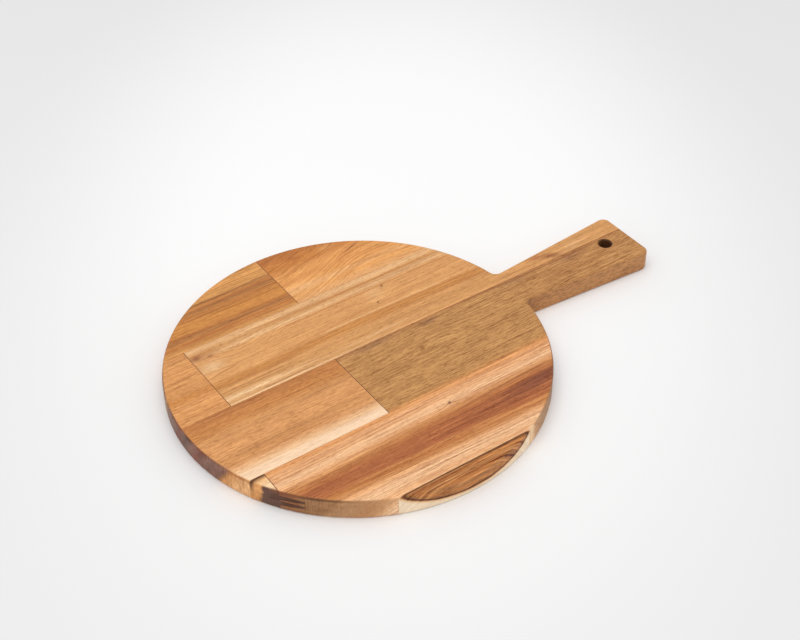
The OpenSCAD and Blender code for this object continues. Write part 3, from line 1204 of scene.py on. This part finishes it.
def glueMaterial(name, light, dark):
    material = bpy.data.materials.new(name)
    material.use_nodes = True
    tree = material.node_tree
    shader = tree.nodes["Principled BSDF"]
    coordinates = put(tree, "ShaderNodeTexCoord").outputs["Object"]
    share = 1 / (glue["patch"] * mm)
    scaled = vectorCalc(tree, "MULTIPLY", coordinates, (share, share, share))
    mottle = cloud(tree, scaled, 3.0).outputs["Fac"]
    spread = rescale(tree, mottle, 0.3, 0.7)
    tree.links.new(blend(tree, spread, toneColour(dark), toneColour(light)), shader.inputs["Base Color"])
    bump = put(tree, "ShaderNodeBump", {"Strength": 0.2, "Distance": 0.0001, "Height": mottle})
    tree.links.new(bump.outputs[0], shader.inputs["Normal"])
    shader.inputs["Roughness"].default_value = glue["roughness"]
    return material


for name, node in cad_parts.items():
    if name.endswith("_glue"):
        tonePair = glue["tones"].get(name, glue["jointTones"])
        node.material_slots[0].material = glueMaterial(name, *tonePair)
print("glue done")

# Camera, aimed at the middle of the underside of the round board and slid sideways
view = {
    "azimuth": -34.769,
    "elevation": 40.124,
    "roll": -0.361,
    "distance": 1.28104,
    "across": 0.035376,
    "up": 0.046844,
    "lens": 67.44,
}

# Studio: pale floor that greys away from the board in a painted vignette, even sky and one soft lamp from
# the front left
studio = {
    "floorHalf": 6.0,
    "floorDrop": 0.00005,
    "floorNear": (0.95, 0.95, 0.95, 1.0),
    "floorFar": (0.805, 0.805, 0.805, 1.0),
    "floorCentre": (0.16, 0.173, 0.0),
    "floorReach": (0.36, 0.58, 1.0),
    "floorPaintedVignette": (0.35, 1.22),
    "sky": 0.74,
    "lampAt": (-0.36, -0.18, 2.2),
    "lampSize": 2.0,
    "lampPower": 20.0,
}


def makeFloor():
    half = studio["floorHalf"]
    z = -studio["floorDrop"]
    mesh = bpy.data.meshes.new("floor")
    corners = [(-half, -half, z), (half, -half, z), (half, half, z), (-half, half, z)]
    mesh.from_pydata(corners, [], [(0, 1, 2, 3)])
    floor = bpy.data.objects.new("floor", mesh)
    bpy.context.scene.collection.objects.link(floor)
    material = bpy.data.materials.new("palePaper")
    material.use_nodes = True
    tree = material.node_tree
    shader = tree.nodes["Principled BSDF"]
    coordinates = put(tree, "ShaderNodeTexCoord").outputs["Object"]
    centred = vectorCalc(tree, "SUBTRACT", coordinates, studio["floorCentre"])
    turn = -math.radians(view["azimuth"])
    turned = put(tree, "ShaderNodeVectorRotate", {"Vector": centred, "Angle": turn})
    shared = vectorCalc(tree, "DIVIDE", turned.outputs[0], studio["floorReach"])
    away = put(tree, "ShaderNodeVectorMath", {0: shared}, operation="LENGTH")
    # painted vignette: the floor's colour falls from floorNear round the board to floorFar away from it
    fade = rescale(tree, away.outputs["Value"], *studio["floorPaintedVignette"])
    tree.links.new(blend(tree, fade, studio["floorNear"], studio["floorFar"]), shader.inputs["Base Color"])
    shader.inputs["Roughness"].default_value = 0.9
    shader.inputs["Specular IOR Level"].default_value = 0.0
    mesh.materials.append(material)


def makeLight():
    world = bpy.data.worlds.new("sky")
    bpy.context.scene.world = world
    world.use_nodes = True
    backdrop = world.node_tree.nodes["Background"]
    backdrop.inputs["Color"].default_value = (1.0, 1.0, 1.0, 1.0)
    backdrop.inputs["Strength"].default_value = studio["sky"]
    lamp = bpy.data.lights.new("softLamp", "AREA")
    lamp.size = studio["lampSize"]
    lamp.energy = studio["lampPower"]
    holder = bpy.data.objects.new("softLamp", lamp)
    holder.location = studio["lampAt"]
    holder.rotation_euler = (-holder.location).to_track_quat("-Z", "Y").to_euler()
    bpy.context.scene.collection.objects.link(holder)


def makeCamera():
    turn, lift, roll = (math.radians(view[key]) for key in ("azimuth", "elevation", "roll"))
    back = Vector((math.sin(turn) * math.cos(lift), -math.cos(turn) * math.cos(lift), math.sin(lift)))
    level = Vector((math.cos(turn), math.sin(turn), 0))
    upright = back.cross(level)
    right = level * math.cos(roll) + upright * math.sin(roll)
    up = upright * math.cos(roll) - level * math.sin(roll)
    data = bpy.data.cameras.new("camera")
    data.sensor_fit = "HORIZONTAL"
    data.sensor_width = 36.0
    data.lens = view["lens"]
    camera = bpy.data.objects.new("camera", data)
    place = back * view["distance"] + right * view["across"] + up * view["up"]
    camera.matrix_world = Matrix.Translation(place) @ Matrix((right, up, back)).transposed().to_4x4()
    bpy.context.scene.collection.objects.link(camera)
    bpy.context.scene.camera = camera


makeFloor()
makeLight()
makeCamera()
bpy.context.scene.view_settings.view_transform = "Standard"
print("studio done")
